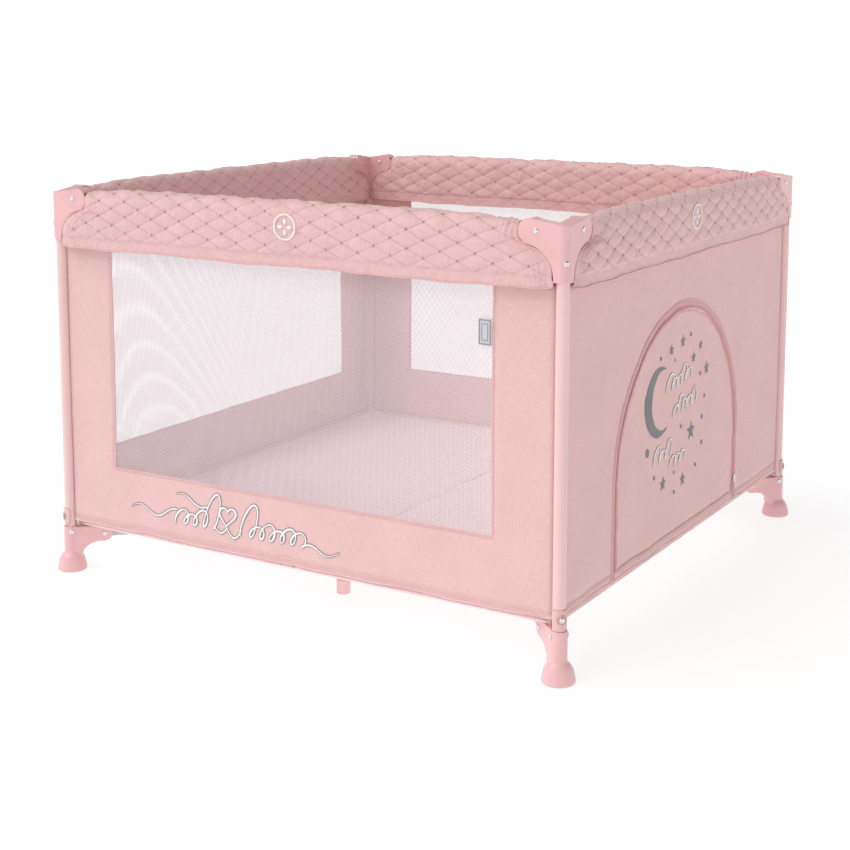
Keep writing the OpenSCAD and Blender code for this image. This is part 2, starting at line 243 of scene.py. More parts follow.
def facing(position, direction):
    """A matrix that puts the local Z axis along a direction at a place."""
    turn = Vector(direction).to_track_quat("Z", "Y").to_matrix().to_4x4()
    return Matrix.Translation(position) @ turn


def rumple(x, y, size, seed=0.0):
    """Smooth noise from about -1 to 1, the same on every run."""
    return noise.noise(Vector((x / size, y / size, seed))) * 1.6


def steps(start, end, spacing):
    return np.linspace(start, end, max(2, int(round(abs(end - start) / spacing)) + 1))


def smooth_step(x, low, high):
    t = min(max((x - low) / (high - low), 0.0), 1.0)
    return t * t * (3 - 2 * t)


# ---- materials
def new_material(name, roughness, metallic=0.0, sheen=0.0, coat=0.0):
    material = bpy.data.materials.new(name)
    material.use_nodes = True
    shader = material.node_tree.nodes["Principled BSDF"]
    shader.inputs["Roughness"].default_value = roughness
    shader.inputs["Metallic"].default_value = metallic
    shader.inputs["Sheen Weight"].default_value = sheen
    shader.inputs["Coat Weight"].default_value = coat
    return material, material.node_tree, shader


def link_noise(tree, vector, scale, detail=3.0, roughness=0.55):
    node = tree.nodes.new("ShaderNodeTexNoise")
    node.inputs["Scale"].default_value = scale
    node.inputs["Detail"].default_value = detail
    node.inputs["Roughness"].default_value = roughness
    tree.links.new(vector, node.inputs["Vector"])
    return node.outputs["Fac"]


def scaled(tree, vector, scale):
    node = tree.nodes.new("ShaderNodeMapping")
    node.inputs["Scale"].default_value = scale
    tree.links.new(vector, node.inputs["Vector"])
    return node.outputs["Vector"]


def maths(tree, kind, a, b):
    node = tree.nodes.new("ShaderNodeMath")
    node.operation = kind
    for socket, value in zip(node.inputs, (a, b)):
        if isinstance(value, (int, float)):
            socket.default_value = value
        else:
            tree.links.new(value, socket)
    return node.outputs["Value"]


def ramp(tree, value, stops):
    node = tree.nodes.new("ShaderNodeValToRGB")
    while len(node.color_ramp.elements) < len(stops):
        node.color_ramp.elements.new(0.5)
    for element, (place, colour) in zip(node.color_ramp.elements, stops):
        element.position = place
        element.color = (*colour, 1)
    tree.links.new(value, node.inputs["Fac"])
    return node.outputs["Color"]


def bump(tree, shader, height, strength, distance):
    node = tree.nodes.new("ShaderNodeBump")
    node.inputs["Strength"].default_value = strength
    node.inputs["Distance"].default_value = distance
    tree.links.new(height, node.inputs["Height"])
    tree.links.new(node.outputs["Normal"], shader.inputs["Normal"])


def tint(colour, factor):
    return tuple(min(1.0, c * factor) for c in colour)


def woven(name, colour, spread=0.12, thread=0.9 * MM, roughness=0.86, sheen=0.25):
    """Plain-woven melange cloth: slubby threads both ways, on UVs in metres."""
    material, tree, shader = new_material(name, roughness, sheen=sheen)
    uv = tree.nodes.new("ShaderNodeUVMap").outputs["UV"]
    weft = link_noise(tree, scaled(tree, uv, (1 / (16 * thread), 1 / thread, 1)), 1.0)
    warp = link_noise(tree, scaled(tree, uv, (1 / thread, 1 / (16 * thread), 1)), 1.0)
    broad = link_noise(tree, scaled(tree, uv, (1, 1, 1)), 9.0, detail=2.0)
    threads = maths(tree, "ADD", weft, warp)
    mixed = maths(tree, "ADD", maths(tree, "MULTIPLY", threads, 0.44), maths(tree, "MULTIPLY", broad, 0.12))
    light, dark = tint(colour, 1 + spread), tint(colour, 1 - spread)
    shade = ramp(tree, mixed, [(0.36, dark), (0.5, colour), (0.64, light)])
    tree.links.new(shade, shader.inputs["Base Color"])
    parts = tree.nodes.new("ShaderNodeSeparateXYZ")
    tree.links.new(uv, parts.inputs["Vector"])
    over = maths(tree, "SINE", maths(tree, "MULTIPLY", parts.outputs["X"], math.pi / thread), 0)
    under = maths(tree, "SINE", maths(tree, "MULTIPLY", parts.outputs["Y"], math.pi / thread), 0)
    weave = maths(tree, "MULTIPLY", over, under)
    height = maths(tree, "ADD", maths(tree, "MULTIPLY", weave, 0.25), threads)
    bump(tree, shader, height, 0.35, 0.25 * MM)
    return material


def shaded(tree, shader, value, colour, dark, light, low=0.3, high=0.7):
    """Lets a value move the base colour between a darker and a lighter tint."""
    shade = ramp(tree, value, [(low, tint(colour, dark)), (high, tint(colour, light))])
    tree.links.new(shade, shader.inputs["Base Color"])


def roughened(tree, shader, value, amount, least):
    """Lets a value add up to an amount to the least roughness."""
    rough = maths(tree, "ADD", maths(tree, "MULTIPLY", value, amount), least)
    tree.links.new(rough, shader.inputs["Roughness"])


def object_place(tree):
    return tree.nodes.new("ShaderNodeTexCoord").outputs["Object"]


def moulded_plastic(name, colour, roughness=0.38, coat=0.15):
    """Injection-moulded plastic with a fine satin grain and faint flow marks."""
    material, tree, shader = new_material(name, roughness, coat=coat)
    place = object_place(tree)
    grain = link_noise(tree, place, 2200.0, detail=2.0)
    shaded(tree, shader, link_noise(tree, place, 22.0, detail=2.0), colour, 0.965, 1.02)
    roughened(tree, shader, grain, 0.14, roughness - 0.07)
    bump(tree, shader, grain, 0.12, 0.05 * MM)
    return material


def coated_steel(name, colour, roughness=0.34):
    """Powder-coated tube: faint orange peel."""
    material, tree, shader = new_material(name, roughness, coat=0.2)
    place = object_place(tree)
    shaded(tree, shader, link_noise(tree, place, 12.0, detail=2.0), colour, 0.975, 1.02)
    bump(tree, shader, link_noise(tree, place, 700.0, detail=2.0), 0.1, 0.12 * MM)
    return material


def bare_metal(name, colour, roughness=0.22):
    """Bright zinc-plated steel with fine brushing."""
    material, tree, shader = new_material(name, roughness, metallic=1.0)
    scratch = link_noise(tree, scaled(tree, object_place(tree), (300, 300, 2500)), 1.0, detail=3.0)
    shaded(tree, shader, scratch, colour, 0.88, 1.04)
    roughened(tree, shader, scratch, 0.2, roughness - 0.08)
    return material


def ink(name, colour, metallic=0.0, roughness=0.5):
    """Printed or stitched mark: slightly broken up by the cloth under it."""
    material, tree, shader = new_material(name, roughness, metallic=metallic)
    speckle = link_noise(tree, object_place(tree), 900.0, detail=3.0)
    shaded(tree, shader, speckle, colour, 0.86, 1.06, 0.35, 0.65)
    bump(tree, shader, speckle, 0.2, 0.1 * MM)
    return material


def quilted(name, colour):
    """Woven cloth with fine darker quilting lines along the diamonds, on UVs in metres; the darker lines are
    painted shade of the sewn grooves.
    """
    material = woven(name, colour, spread=0.13)
    tree = material.node_tree
    shader = tree.nodes["Principled BSDF"]
    plain = shader.inputs["Base Color"].links[0].from_socket
    parts = tree.nodes.new("ShaderNodeSeparateXYZ")
    tree.links.new(tree.nodes.new("ShaderNodeUVMap").outputs["UV"], parts.inputs["Vector"])
    across = maths(tree, "DIVIDE", parts.outputs["X"], QUILT_W)
    up = maths(tree, "DIVIDE", maths(tree, "SUBTRACT", parts.outputs["Y"], QUILT_HEM), QUILT_H)
    lines = []
    for kind in ("ADD", "SUBTRACT"):
        turn = maths(tree, "FRACT", maths(tree, kind, across, up), 0)
        lines.append(maths(tree, "ABSOLUTE", maths(tree, "SUBTRACT", turn, 0.5), 0))
    nearest = maths(tree, "MAXIMUM", lines[0], lines[1])
    inner = maths(tree, "GREATER_THAN", parts.outputs["Y"], QUILT_HEM)
    drawn = maths(tree, "MULTIPLY", nearest, inner)
    # Painted shade: the cloth is darkened along the quilting lines, where the stitching sinks it into grooves
    groove_shade_mask = ramp(tree, drawn, [(0.455, (0, 0, 0)), (0.495, (1, 1, 1))])
    mix = tree.nodes.new("ShaderNodeMix")
    mix.data_type = "RGBA"
    mix.blend_type = "MULTIPLY"
    tree.links.new(groove_shade_mask, mix.inputs["Factor"])
    tree.links.new(plain, mix.inputs["A"])
    mix.inputs["B"].default_value = (0.83, 0.75, 0.76, 1)
    tree.links.new(mix.outputs["Result"], shader.inputs["Base Color"])
    return material


CLOTH = woven("cloth_pink", (0.79, 0.51, 0.50))
QUILT = quilted("cloth_quilt", (0.78, 0.50, 0.495))
TAPE = woven("zipper_tape", (0.74, 0.39, 0.395), spread=0.08, thread=0.7 * MM)
BINDING = woven("binding", (0.74, 0.45, 0.445), spread=0.08, thread=0.7 * MM)
# A lighter copy of the wall cloth, used on the turned-in hem: painted light
UNDERSIDE_PAINTED_LIGHT = woven("cloth_underside_painted_light", (0.84, 0.58, 0.58), spread=0.1)
PAD_CLOTH = woven("cloth_pad", (0.94, 0.70, 0.71), spread=0.14)
LABEL = woven("label_cloth", (0.62, 0.61, 0.64), spread=0.04, thread=0.5 * MM)
THREAD = ink("thread_dark", (0.34, 0.16, 0.18), roughness=0.8)
LABEL_PRINT = ink("label_print", (0.33, 0.32, 0.35))
SEAM = ink("thread_seam", (0.60, 0.30, 0.31), roughness=0.8)
NET = ink("net_yarn", (0.97, 0.88, 0.94), roughness=0.6)
WHITE_PRINT = ink("print_white", (0.90, 0.88, 0.89), roughness=0.45)
GREY_PRINT = ink("print_silver", (0.17, 0.17, 0.185), metallic=0.2, roughness=0.4)
PLASTIC = moulded_plastic("plastic_pink", (0.84, 0.49, 0.50))
PLASTIC_DARK = moulded_plastic("plastic_button", (0.62, 0.33, 0.35))
POST_STEEL = coated_steel("steel_pink", (0.87, 0.58, 0.565))
GREY_STEEL = coated_steel("steel_grey", (0.52, 0.52, 0.54), roughness=0.42)
BARE = bare_metal("zinc_bright", (0.80, 0.80, 0.82))
COIL = ink("zipper_coil", (0.68, 0.34, 0.35), roughness=0.45)


def dress_cad(node, material):
    """Gives a carried-over CAD node its finish."""
    slots = NODES[node].data.materials
    slots.clear()
    slots.append(material)


def stands_for(obj, body, node):
    """Puts a piece on its body, in place of a CAD node."""
    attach(obj, body)
    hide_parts(node)


# ---- the quilted rail covers
def bracket_edge(z):
    """Distance from the post to the edge of the corner bracket at a height."""
    sweep_s, sweep_z, sweep_r = 66 * MM, RAIL_Z - 76 * MM, 54.5 * MM
    lobe_s, lobe_z, lobe_r = 54 * MM, RAIL_Z - 1 * MM, 20.5 * MM
    if z < lobe_z - lobe_r:
        rise = min(abs(z - sweep_z), sweep_r) if z > sweep_z else 0.0
        least = POST_R + (3 * MM if z > RAIL_Z - 80 * MM else 0.5 * MM)
        return max(sweep_s - math.sqrt(sweep_r**2 - rise**2), least)
    rise = min(abs(z - lobe_z), lobe_r) if z < lobe_z else 0.0
    return max(lobe_s + math.sqrt(lobe_r**2 - rise**2), sweep_s - 2 * MM)


def cover_path():
    """The cover's outer line over the rail as (y, z, distance, normal y, normal z)."""
    w = COVER_HALF_W - 1.5 * MM
    arc_r = w - 1 * MM
    top = COVER_HIGH - 5 * MM - arc_r
    rows = []
    for z in steps(COVER_LOW, top, 3.2 * MM)[:-1]:
        rows.append((-w, z, -1.0, 0.0))
    for a in np.linspace(math.pi, 0, 19):
        c, s = math.cos(a), math.sin(a)
        rows.append((w * c, top + arc_r * s, c, s))
    for z in steps(top, COVER_LOW, 3.2 * MM)[1:]:
        rows.append((w, z, 1.0, 0.0))
    rows = np.array(rows)
    gone = np.concatenate([[0], np.cumsum(np.linalg.norm(np.diff(rows[:, :2], axis=0), axis=1))])
    return rows[:, 0], rows[:, 1], gone, rows[:, 2], rows[:, 3]


def quilt_height(u, t, total):
    """How far the quilting stands proud: diamonds between the two plain hems."""
    inside = smooth_step(min(t, total - t), QUILT_HEM - 1 * MM, QUILT_HEM + 5 * MM)
    a = u / QUILT_W + (t - QUILT_HEM) / QUILT_H
    b = u / QUILT_W - (t - QUILT_HEM) / QUILT_H
    puff = (abs(math.sin(math.pi * a)) * abs(math.sin(math.pi * b))) ** 0.34
    uneven = 1 + 0.3 * rumple(round(a - 0.5) * 0.7, round(b - 0.5) * 0.7, 1.0, 4.0)
    seam = abs(min(t, total - t) - QUILT_HEM)
    groove = math.exp(-((seam / (1.6 * MM)) ** 2))
    return 3.2 * MM * puff * inside * uneven - 1.1 * MM * groove


def cover_point(u, row, path, badge_s):
    """One point of the quilted face: u runs from the side's middle towards the post."""
    ys, zs, gone, ny, nz = path
    y, z, t = ys[row], zs[row], gone[row]
    total = gone[-1]
    away = HALF - abs(u) - bracket_edge(z)
    gather = math.exp(-max(away, 0) / (24 * MM))
    loose = smooth_step(away, -2 * MM, 20 * MM)
    lift = quilt_height(u, t, total) * (0.25 + 0.75 * loose)
    pleat = math.sin(2 * math.pi * away / (9 * MM) + 2.2 * rumple(z, u, 26 * MM))
    lift += gather * loose * 2.2 * MM * pleat
    long_folds = 1.5 * MM * rumple(u + 0.9 * t, t * 0.25, 30 * MM, 3.1)
    broad = 1.0 * MM * rumple(u, t, 55 * MM, 12.0)
    lift += loose * (long_folds + broad + 0.7 * MM * rumple(u + t, t - u, 13 * MM, 7.7))
    if t < total / 2:
        flat = 1 - smooth_step(math.hypot(u - badge_s, z - BADGE_Z), 23 * MM, 31 * MM)
        lift = lift * (1 - flat) + 2.6 * MM * flat
    hang = (COVER_HIGH - z) / (COVER_HIGH - COVER_LOW)
    if abs(ny[row]) > 0.9:
        lift += loose * 1.6 * MM * math.sin(math.pi * min(hang * 1.1, 1))
    narrow = 1 - 0.3 * (1 - smooth_step(away, -2 * MM, 30 * MM))
    sway = hang**2 * (1.0 * MM * math.sin(u / (58 * MM)) + 1.2 * MM * rumple(u, 0, 60 * MM, 5.0))
    droop = (1 - hang) ** 3 * 9 * MM * math.exp(-max(away, 0) / (55 * MM))
    droop -= hang**3 * 3 * MM * math.exp(-max(away, 0) / (16 * MM))
    return (u, y * narrow + ny[row] * lift, z + nz[row] * lift + sway - droop)


def cover_half(side, end):
    """Half a side's padded cover: quilted face, plain lining, bound edges and closed ends."""
    sign = -1 if end == "a" else 1
    path = ys, zs, gone, ny, nz = cover_path()
    rows = len(ys)
    badge_s = BADGE_S[side]
    rings, ring_uvs = [], []
    for share in np.linspace(0, 1, COVER_STEPS):
        ring, uv = [], []
        for k in range(rows):
            inside = max(ys[k], 0) * 0.8
            start = HALF - max(bracket_edge(zs[k]) + 0.4 * MM, inside + 1 * MM)
            u = sign * (COVER_GAP + share * (start - COVER_GAP))
            ring.append(cover_point(u, k, path, badge_s))
            uv.append((u, gone[k]))
        for k in range(rows - 1, -1, -3):
            u, y, z = ring[k]
            near = math.exp(-max(HALF - abs(u) - bracket_edge(zs[k]), 0) / (30 * MM))
            thick = (6.5 - 3.5 * near) * MM
            ring.append((u, y - ny[k] * thick, z - nz[k] * (thick + 1 * MM)))
            uv.append((u, -0.05 - gone[k]))
        rings.append(ring)
        ring_uvs.append(uv)
    points, uvs = np.array(rings), np.array(ring_uvs)
    points[..., 1] -= HALF
    shape = Shape()
    edge = points[-1, :rows]
    lower = [points[::2, k] + np.array([0, out * 0.6 * MM, 0.4 * MM]) for k, out in ((0, -1), (rows - 1, 1))]
    if sign < 0:
        points, uvs = points[::-1], uvs[::-1]
    shape.grid(points, uvs, wrap=True)
    shape.cap(points[0], uvs[0], flip=True)
    shape.cap(points[-1], uvs[-1])
    tube(shape, edge, 1.1 * MM, sides=6, number=2)
    for line in lower:
        tube(shape, line, 1.5 * MM, sides=6, number=2)
    add_tufts(shape, sign, path, badge_s)
    obj = shape.build(f"quilt_{side}_{end}", [QUILT, THREAD, BINDING], side_turn(side))
    stands_for(obj, f"rail_{side}_{end}", f"cover_{side}_{end}")
    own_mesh(obj)


def add_tufts(shape, sign, path, badge_s):
    """Short dark stitches where the quilting lines cross, all leaning one way."""
    ys, zs, gone, ny, nz = path
    total = gone[-1]
    long, wide = 3.8 * MM, 0.75 * MM
    faces = [[0, 1, 5, 4], [1, 2, 5], [2, 3, 4, 5], [3, 0, 4], [3, 2, 1, 0]]
    for m in range(-16, 17):
        for n in range(1, 18):
            u = m * QUILT_W / 2
            t = QUILT_HEM + n * QUILT_H / 2
            if (m + n) % 2 or t > total - QUILT_HEM - 4 * MM or u * sign <= 0:
                continue
            k = int(np.argmin(abs(gone - t)))
            away = HALF - abs(u) - bracket_edge(zs[k])
            near_badge = t < total / 2 and math.hypot(u - badge_s, zs[k] - BADGE_Z) < 34 * MM
            if away < 12 * MM or near_badge or k < 2 or k > len(gone) - 3:
                continue
            up = np.array([0, ys[k + 1] - ys[k - 1], zs[k + 1] - zs[k - 1]])
            along = up / np.linalg.norm(up) + np.array([0.45, 0, 0])
            along /= np.linalg.norm(along)
            normal = np.array([0, ny[k], nz[k]])
            side = np.cross(along, normal) * wide
            base = np.array(cover_point(u, k, path, badge_s)) + normal * 1.0 * MM + np.array([0, -HALF, 0])
            top = base + normal * 0.6 * MM
            corners = [base - along * long, base + side, base + along * long, base - side]
            ridge = [top - along * long * 0.5, top + along * long * 0.5]
            shape.add(np.array(corners + ridge), faces, [(0, 0)] * 6, number=1)


# ---- walls
def wall_lift(s, z, seed):
    """How far the cloth of a wall stands off its flat plane: soft folds, tighter by the posts."""
    near_post = math.exp(-(WALL_END - abs(s)) / (35 * MM))
    soft = 1.6 * MM * rumple(s, z * 0.35, 55 * MM, seed) + 0.8 * MM * rumple(s, z, 24 * MM, seed + 4)
    low = smooth_step(z, HEM_Z + 90 * MM, HEM_Z)
    drape = low * 1.6 * MM * math.sin(s / (46 * MM) + 2 * rumple(s, 0, 150 * MM, seed))
    return (soft + drape) * (1 - 0.75 * near_post)


def wall_points(lines, seed):
    """Puts a lattice of (s, z) points on the soft surface of a wall."""
    return np.array([[(s, -HALF - wall_lift(s, z, seed), z) for s, z in row] for row in lines])


def wall_grid(shape, lines_s, lines_z, seed, keep):
    """One face of a wall panel on a lattice; it gets its thickness later."""
    lines = np.array([[(s, z) for z in lines_z] for s in lines_s])
    shape.grid(wall_points(lines, seed), lines, keep=keep)


def edge_strip(shape, line, width, number, seed):
    """A flat closed tape along a line of (s, z) points, wrapped round both faces of the wall."""
    line = np.asarray(line, float)
    along = np.gradient(line, axis=0)
    along /= np.linalg.norm(along, axis=1)[:, None]
    across = np.stack([-along[:, 1], along[:, 0]], axis=1)
    gone = np.concatenate([[0], np.cumsum(np.linalg.norm(np.diff(line, axis=0), axis=1))])
    section = [(-0.5, -0.6), (-0.43, -1), (0, -1.05), (0.43, -1), (0.5, -0.6),
               (0.5, 0.6), (0.43, 1), (0, 1.05), (-0.43, 1), (-0.5, 0.6)]
    rows, uvs = [], []
    for k in range(len(line)):
        row = []
        for share, face in section:
            s, z = line[k] + across[k] * width * share
            row.append((s, -HALF - wall_lift(s, z, seed) + face * STRIP_OFF, z))
        rows.append(row)
        uvs.append([(gone[k], share * width + (0.05 if face > 0 else 0)) for share, face in section])
    rows, uvs = np.array(rows), np.array(uvs)
    shape.grid(rows, uvs, wrap=True, number=number)
    shape.cap(rows[0], uvs[0], number, flip=True)
    shape.cap(rows[-1], uvs[-1], number)


def seam_line(shape, line, seed, number, radius=0.45 * MM, off=1.0 * MM, sides=5):
    """A sewn thread along a line of (s, z) points on the outer face."""
    points = [(s, -HALF - wall_lift(s, z, seed) - off, z) for s, z in line]
    tube(shape, points, radius, sides=sides, number=number)


def straight(a, b, spacing=8 * MM):
    n = max(2, int(math.dist(a, b) / spacing) + 1)
    return [(a[0] + (b[0] - a[0]) * k / (n - 1), a[1] + (b[1] - a[1]) * k / (n - 1)) for k in range(n)]


def squash_side(obj):
    """Gives a piece a mesh of its own."""
    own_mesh(obj)


def on_wall(obj, side):
    """Lets a piece ride with the post that carries the wall."""
    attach(obj, f"post_{WALL_CORNER[side]}")
    squash_side(obj)


def hem(shape, seed):
    """The lower edge of a wall, turned in under the floor with a soft bulge."""
    lines_s = steps(-CLOTH_END, CLOTH_END, CLOTH_STEP)
    rows, uvs = [], []
    for s in lines_s:
        row, uv = [], []
        wave = 2.0 * MM * rumple(s, 0, 90 * MM, seed + 9)
        base = -HALF - wall_lift(s, HEM_Z, seed)
        end = smooth_step(CLOTH_END - abs(s), 0, 60 * MM)
        for a in np.linspace(0, 1, 9):
            turn = a * math.pi / 2
            out = 1.5 * MM * math.sin(a * math.pi)
            tuck = (1 - math.cos(turn)) * 34 * MM * end
            drop = math.sin(turn) * (12 * MM + wave) * (0.4 + 0.6 * end)
            row.append((s, base - out + tuck, HEM_Z - drop))
            uv.append((s, HEM_Z - a * 0.04))
        rows.append(row)
        uvs.append(uv)
    # The turned-in hem takes the lighter copy of the wall cloth, which is painted light
    shape.grid(np.array(rows)[:, ::-1], np.array(uvs)[:, ::-1], number=1)


def net_threads(seed):
    """The net: two families of slanting yarns, one over the other, with domed faces."""
    shape = Shape()
    left, right = -WINDOW_HALF - 3 * MM, WINDOW_HALF + 3 * MM
    low, high = WINDOW_LOW - 3 * MM, COVER_LOW + 8 * MM
    run = (high - low) * NET_W / NET_H
    tall = YARN_W / 2 * math.hypot(1, NET_H / NET_W)
    for family in (-1, 1):
        for start in np.arange(left - run, right, NET_W):
            foot = low if family > 0 else high
            first = max(0.0, (left - start) / run)
            last = min(1.0, (right - start) / run)
            if last - first < 0.004:
                continue
            rows, uvs = [], []
            for t in np.linspace(first, last, max(2, int((last - first) * 10) + 1)):
                s, z = start + run * t, foot + family * (high - low) * t
                y = -HALF - net_sag(s, z, seed) + family * 0.15 * MM
                rows.append([(s, y, z - tall), (s, y - 0.22 * MM, z), (s, y, z + tall)])
                uvs.append([(s, 0), (s, YARN_W / 2), (s, YARN_W)])
            shape.grid(np.array(rows)[:, ::-1], np.array(uvs)[:, ::-1])
    return shape


def net_sag(s, z, seed):
    """The net follows the cloth at its edges and hangs smooth in the middle."""
    edge = min(WINDOW_HALF - abs(s), z - WINDOW_LOW)
    share = smooth_step(edge, -5 * MM, 45 * MM)
    return wall_lift(s, z, seed) * (1 - share) - share * 1.6 * MM * math.sin(s / (130 * MM))


def lattice(low, high, spacing, *stops):
    """Steps that land exactly on each stop."""
    marks = sorted([low, *stops, high])
    parts = [steps(a, b, spacing)[:-1] for a, b in zip(marks, marks[1:])]
    return np.concatenate([*parts, [high]])


def hem_trim(shape, seed):
    """The taped edge and the sewn line just above a wall's hem."""
    def level(z):
        return straight((-CLOTH_END, z), (CLOTH_END, z))

    edge_strip(shape, level(HEM_Z), 6 * MM, 0, seed)
    seam_line(shape, level(HEM_Z + 9 * MM), seed, 0, radius=0.35 * MM)


def finish_wall(shape, side, trim, trim_name, trim_materials):
    cloth = shape.build(f"cloth_wall_{side}", [CLOTH, UNDERSIDE_PAINTED_LIGHT], side_turn(side))
    thicken(cloth, CLOTH_T)
    binding = trim.build(trim_name, trim_materials, side_turn(side))
    for obj in (cloth, binding):
        on_wall(obj, side)
    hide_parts(f"wall_{side}")


def net_wall(side):
    """A wall with a net window: cloth frame, net, bindings and stitching."""
    seed = WALL_SEED[side]
    lines_s = lattice(-CLOTH_END, CLOTH_END, CLOTH_STEP, -WINDOW_HALF, WINDOW_HALF)
    lines_z = lattice(HEM_Z, WALL_HIGH, CLOTH_STEP, WINDOW_LOW)

    def cloth_here(i, j):
        s, z = (lines_s[i] + lines_s[i + 1]) / 2, (lines_z[j] + lines_z[j + 1]) / 2
        return abs(s) > WINDOW_HALF or z < WINDOW_LOW

    shape, trim = Shape(), Shape()
    wall_grid(shape, lines_s, lines_z, seed, cloth_here)
    hem(shape, seed)
    outline = [(-WINDOW_HALF, WALL_HIGH), (-WINDOW_HALF, WINDOW_LOW),
               (WINDOW_HALF, WINDOW_LOW), (WINDOW_HALF, WALL_HIGH)]
    for a, b in zip(outline, outline[1:]):
        edge_strip(trim, straight(a, b), 4.5 * MM, 0, seed)
    hem_trim(trim, seed)
    finish_wall(shape, side, trim, f"binding_{side}", [BINDING])

    net = net_threads(seed).build(f"net_{side}", [NET], side_turn(side))
    on_wall(net, side)


def arch_line(radius, low, spacing=7 * MM):
    """The arch of the door as (s, z) points, from the foot of one leg to the other."""
    legs = max(2, int((DOOR_SPRING - low) / spacing))
    left = [(DOOR_Y - radius, z) for z in np.linspace(low, DOOR_SPRING, legs)[:-1]]
    round_n = int(math.pi * radius / spacing)
    top = [(DOOR_Y - radius * math.cos(a), DOOR_SPRING + radius * math.sin(a))
           for a in np.linspace(0, math.pi, round_n)]
    right = [(DOOR_Y + radius, z) for z in np.linspace(DOOR_SPRING, low, legs)[1:]]
    return left + top + right


def zip_coil(shape, radius, seed, number):
    """The closed zipper: a fine coil whose turns show as small ribs along the arch."""
    points = []
    for k, (s, z) in enumerate(arch_line(radius, DOOR_LOW - DOOR_GAP, 1.6 * MM)):
        ripple = 0.35 * MM * (k % 2)
        points.append((s, -HALF - wall_lift(s, z, seed) - 1.1 * MM - ripple, z))
    tube(shape, points, 1.6 * MM, sides=6, number=number)


def door_wall():
    """The wall with the arch: cloth round the opening, zipper tape, coil and hem."""
    seed = WALL_SEED["right"]
    hole_r = DOOR_R + DOOR_GAP
    foot = DOOR_LOW - DOOR_GAP
    rows = []
    for s, z in arch_line(hole_r, foot, CLOTH_STEP):
        ray = np.array([s - DOOR_Y, max(z - DOOR_SPRING, 0.0)])
        ray /= np.linalg.norm(ray)
        sideways = (math.copysign(CLOTH_END, ray[0]) - s) / ray[0] if abs(ray[0]) > 1e-6 else 9
        upwards = (WALL_HIGH - z) / ray[1] if ray[1] > 1e-6 else 9
        far = min(sideways, upwards)
        rows.append([(s + ray[0] * far * t, z + ray[1] * far * t) for t in np.linspace(0, 1, 34)])
    rows = square_corners(np.array(rows))
    shape, trim = Shape(), Shape()
    shape.grid(wall_points(rows, seed), rows)
    wall_grid(shape, lattice(-CLOTH_END, CLOTH_END, CLOTH_STEP), steps(HEM_Z, foot, 6 * MM), seed, None)
    hem(shape, seed)

    def arch(out):
        return arch_line(hole_r + out, HEM_Z + 4 * MM)

    edge_strip(trim, arch(8 * MM), 12 * MM, 1, seed)
    hem_trim(trim, seed)
    seam_line(trim, arch(15.5 * MM), seed, 0, radius=1.3 * MM, off=1.1 * MM)
    seam_line(trim, arch(5 * MM), seed, 2, radius=0.4 * MM, off=1.7 * MM)
    zip_coil(trim, hole_r + 0.8 * MM, seed, 3)
    finish_wall(shape, "right", trim, "zipper_tape", [BINDING, TAPE, SEAM, COIL])


def square_corners(rows):
    """Moves the outer ends of the rays nearest each upper corner into that corner."""
    for sign in (-1, 1):
        corner = np.array([sign * WALL_END, WALL_HIGH])
        nearest = int(np.argmin(np.linalg.norm(rows[:, -1] - corner, axis=1)))
        start = rows[nearest][0]
        rows[nearest] = start + (corner - start) * np.linspace(0, 1, rows.shape[1])[:, None]
    return rows


def door():
    """The door panel with its zipper tape and the seam that it folds down on."""
    seed, turn = WALL_SEED["right"], side_turn("right")
    heights = np.concatenate([
        steps(DOOR_LOW, DOOR_SPRING, CLOTH_STEP)[:-1],
        DOOR_SPRING + DOOR_R * np.sin(np.linspace(0, math.pi / 2, 46)),
    ])
    rows = []
    for z in heights:
        half_w = math.sqrt(max(DOOR_R**2 - max(z - DOOR_SPRING, 0) ** 2, 0)) + 0.05 * MM
        rows.append([(DOOR_Y + half_w * x, z) for x in np.linspace(-1, 1, 62)])
    rows = np.array(rows)
    shape, trim = Shape(), Shape()
    shape.grid(wall_points(rows, seed), rows)
    panel = shape.build("cloth_door", [CLOTH], turn)
    thicken(panel, CLOTH_T)
    edge_strip(trim, arch_line(DOOR_R - 3.5 * MM, DOOR_LOW + 1 * MM), 5 * MM, 0, seed)
    fold = straight((DOOR_Y - DOOR_R + 12 * MM, DOOR_LOW), (DOOR_Y + DOOR_R - 12 * MM, DOOR_LOW))
    seam_line(trim, fold, seed, 1, radius=0.8 * MM, off=1.4 * MM, sides=8)
    tape = trim.build("door_tape", [TAPE, CLOTH], turn)
    for obj in (panel, tape):
        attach(obj, "door_flap")
        squash_side(obj)
    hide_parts("door_flap")


# ---- prints, badges and label
class Print:
    """Flat marks on a side, in (s, z): filled outlines and brush strokes just off the cloth."""

    def __init__(self, seed, off=1.5 * MM):
        self.shape, self.seed, self.off = Shape(), seed, off

    def place(self, s, z, extra=0.0):
        return (s, -HALF - wall_lift(s, z, self.seed) - self.off - extra, z)

    def fill(self, outline):
        """A filled outline as a fan from its centre, so it must be seen whole from there."""
        outline = np.asarray(outline, float)
        points = [self.place(*p) for p in outline] + [self.place(*outline.mean(0), 0.15 * MM)]
        n = len(outline)
        self.shape.add(points, [[i, (i + 1) % n, n] for i in range(n)])

    def stroke(self, line, widths, number=0):
        """A brush stroke: a ribbon whose width follows the widths along the line."""
        line = np.asarray(line, float)
        widths = np.interp(np.linspace(0, 1, len(line)), np.linspace(0, 1, len(widths)), widths)
        along = np.gradient(line, axis=0)
        along /= np.linalg.norm(along, axis=1)[:, None] + 1e-12
        across = np.stack([-along[:, 1], along[:, 0]], axis=1)
        rows = np.array([[self.place(*(p - a * w / 2)), self.place(*(p + a * w / 2))]
                         for p, a, w in zip(line, across, widths)])
        uvs = np.array([[(k * MM, 0), (k * MM, w)] for k, w in enumerate(widths)])
        self.shape.grid(rows, uvs, number=number)


